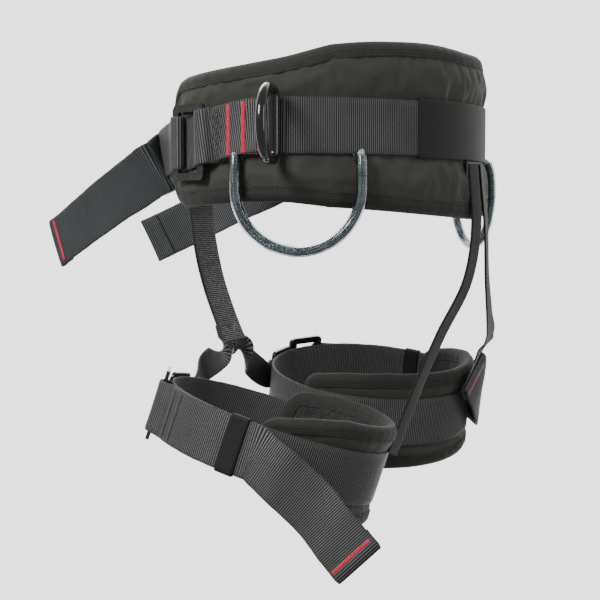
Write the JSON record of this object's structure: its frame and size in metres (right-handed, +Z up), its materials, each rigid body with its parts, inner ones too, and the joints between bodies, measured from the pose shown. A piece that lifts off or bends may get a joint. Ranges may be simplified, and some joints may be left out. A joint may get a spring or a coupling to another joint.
{
  "type": "safety harness",
  "caption": "Sit harness for work at height: padded waist belt with side D-rings and gear loops, joined to padded leg loops.",
  "frame": {"origin": "centre of the wearer's waist, half way up the belt webbing", "axes": "+Z up the wearer's trunk, the wearer faces -Y, +X is the wearer's left"},
  "size_m": [0.461, 0.3837, 0.4185],
  "materials": {
    "pad_cloth": "matte black oxford cloth",
    "pad_foam": "closed-cell foam",
    "pad_lining": "black spacer mesh",
    "binding_tape": "folded black tape, double stitched",
    "webbing": "ribbed black polyester webbing",
    "elastic": "smooth black knitted elastic",
    "red_thread": "dense red thread bartacks",
    "black_steel": "gloss black coated steel",
    "clear_tube": "clear flexible plastic tube",
    "loop_cord": "braided dark cord"
  },
  "bodies": {
    "waist": {"back_pad": "pad_foam", "back_pad_cover": "pad_cloth", "back_pad_lining": "pad_lining", "back_pad_binding": "binding_tape", "belt_webbing": "webbing", "back_sleeve": "elastic", "front_strap": "webbing", "waist_bartacks": "red_thread", "ventral_loop": "webbing", "front_riser": "webbing", "riser_anchor": "webbing", "d_ring_loop_left": "webbing", "waist_frame_left": "black_steel", "waist_plate_left": "black_steel", "front_link_left": "webbing", "gear_loop_tabs_left": "webbing", "d_ring_loop_right": "webbing", "waist_frame_right": "black_steel", "waist_plate_right": "black_steel", "front_link_right": "webbing", "gear_loop_tabs_right": "webbing"},
    "ventral_ring": {"ventral_ring": "black_steel"},
    "d_ring_left": {"d_ring_left": "black_steel"},
    "gear_loop_left": {"gear_loop_tube_left": "clear_tube", "gear_loop_cord_left": "loop_cord"},
    "waist_tail_left": {"waist_tail_left": "webbing"},
    "leg_left": {"leg_webbing_left": "webbing", "leg_pad_left": "pad_foam", "leg_pad_cover_left": "pad_cloth", "leg_pad_lining_left": "pad_lining", "leg_pad_binding_left": "binding_tape", "leg_frame_left": "black_steel", "leg_plate_left": "black_steel", "leg_bartacks_left": "red_thread", "riser_left": "elastic", "leg_link_left": "webbing"},
    "leg_keeper_left": {"leg_keeper_left": "elastic"},
    "leg_tail_left": {"leg_tail_left": "webbing"},
    "d_ring_right": {"d_ring_right": "black_steel"},
    "gear_loop_right": {"gear_loop_tube_right": "clear_tube", "gear_loop_cord_right": "loop_cord"},
    "waist_tail_right": {"waist_tail_right": "webbing"},
    "leg_right": {"leg_webbing_right": "webbing", "leg_pad_right": "pad_foam", "leg_pad_cover_right": "pad_cloth", "leg_pad_lining_right": "pad_lining", "leg_pad_binding_right": "binding_tape", "leg_frame_right": "black_steel", "leg_plate_right": "black_steel", "leg_bartacks_right": "red_thread", "riser_right": "elastic", "leg_link_right": "webbing"},
    "leg_keeper_right": {"leg_keeper_right": "elastic"},
    "leg_tail_right": {"leg_tail_right": "webbing"}
  },
  "joints": [
    {"name": "ventral_ring_swing", "type": "hinge", "parent": "waist", "child": "ventral_ring", "pos_m": [0, -0.1432, -0.022], "axis": [1, 0, 0], "range_deg": [-10, 50]},
    {"name": "d_ring_swing_left", "type": "hinge", "parent": "waist", "child": "d_ring_left", "pos_m": [0.18066, 0.0313, 0], "axis": [0, 0, 1], "range_deg": [-60, 60]},
    {"name": "gear_loop_lift_left", "type": "hinge", "parent": "waist", "child": "gear_loop_left", "pos_m": [0.18648, -0.00195, -0.021], "axis": [0.4374, -0.8993, 0], "range_deg": [0, 75]},
    {"name": "waist_tail_flap_left", "type": "hinge", "parent": "waist", "child": "waist_tail_left", "pos_m": [0.1395, -0.0935, -0.03], "axis": [-0.1285, -0.369, 0.9205], "range_deg": [-8, 40]},
    {"name": "leg_swing_left", "type": "hinge", "parent": "waist", "child": "leg_left", "pos_m": [0.104, 0.004, -0.08], "axis": [-1, 0, 0], "range_deg": [-10, 30], "deforming": ["riser_left", "leg_link_left"]},
    {"name": "leg_keeper_shift_left", "type": "hinge", "parent": "leg_left", "child": "leg_keeper_left", "pos_m": [0.104, -0.006, -0.259], "axis": [0.1219, -0.2902, -0.9492], "range_deg": [0, 30]},
    {"name": "leg_tail_flap_left", "type": "hinge", "parent": "leg_left", "child": "leg_tail_left", "pos_m": [0.19886, 0.01435, -0.25304], "axis": [0.1219, -0.2902, -0.9492], "range_deg": [0, 45]},
    {"name": "d_ring_swing_right", "type": "hinge", "parent": "waist", "child": "d_ring_right", "pos_m": [-0.18066, 0.0313, 0], "axis": [0, 0, -1], "range_deg": [-60, 60]},
    {"name": "gear_loop_lift_right", "type": "hinge", "parent": "waist", "child": "gear_loop_right", "pos_m": [-0.16577, 0.06475, -0.021], "axis": [0.7901, 0.6129, 0], "range_deg": [0, 75]},
    {"name": "waist_tail_flap_right", "type": "hinge", "parent": "waist", "child": "waist_tail_right", "pos_m": [-0.1395, -0.0935, -0.03], "axis": [-0.1285, 0.369, -0.9205], "range_deg": [-8, 40]},
    {"name": "leg_swing_right", "type": "hinge", "parent": "waist", "child": "leg_right", "pos_m": [-0.104, 0.004, -0.08], "axis": [-1, 0, 0], "range_deg": [-10, 30], "deforming": ["riser_right", "leg_link_right"]},
    {"name": "leg_keeper_shift_right", "type": "hinge", "parent": "leg_right", "child": "leg_keeper_right", "pos_m": [-0.104, 0, -0.242], "axis": [0.1219, 0.1381, 0.9829], "range_deg": [0, 30]},
    {"name": "leg_tail_flap_right", "type": "hinge", "parent": "leg_right", "child": "leg_tail_right", "pos_m": [-0.19886, 0.01916, -0.23293], "axis": [0.1219, 0.1381, 0.9829], "range_deg": [0, 45]}
  ]
}
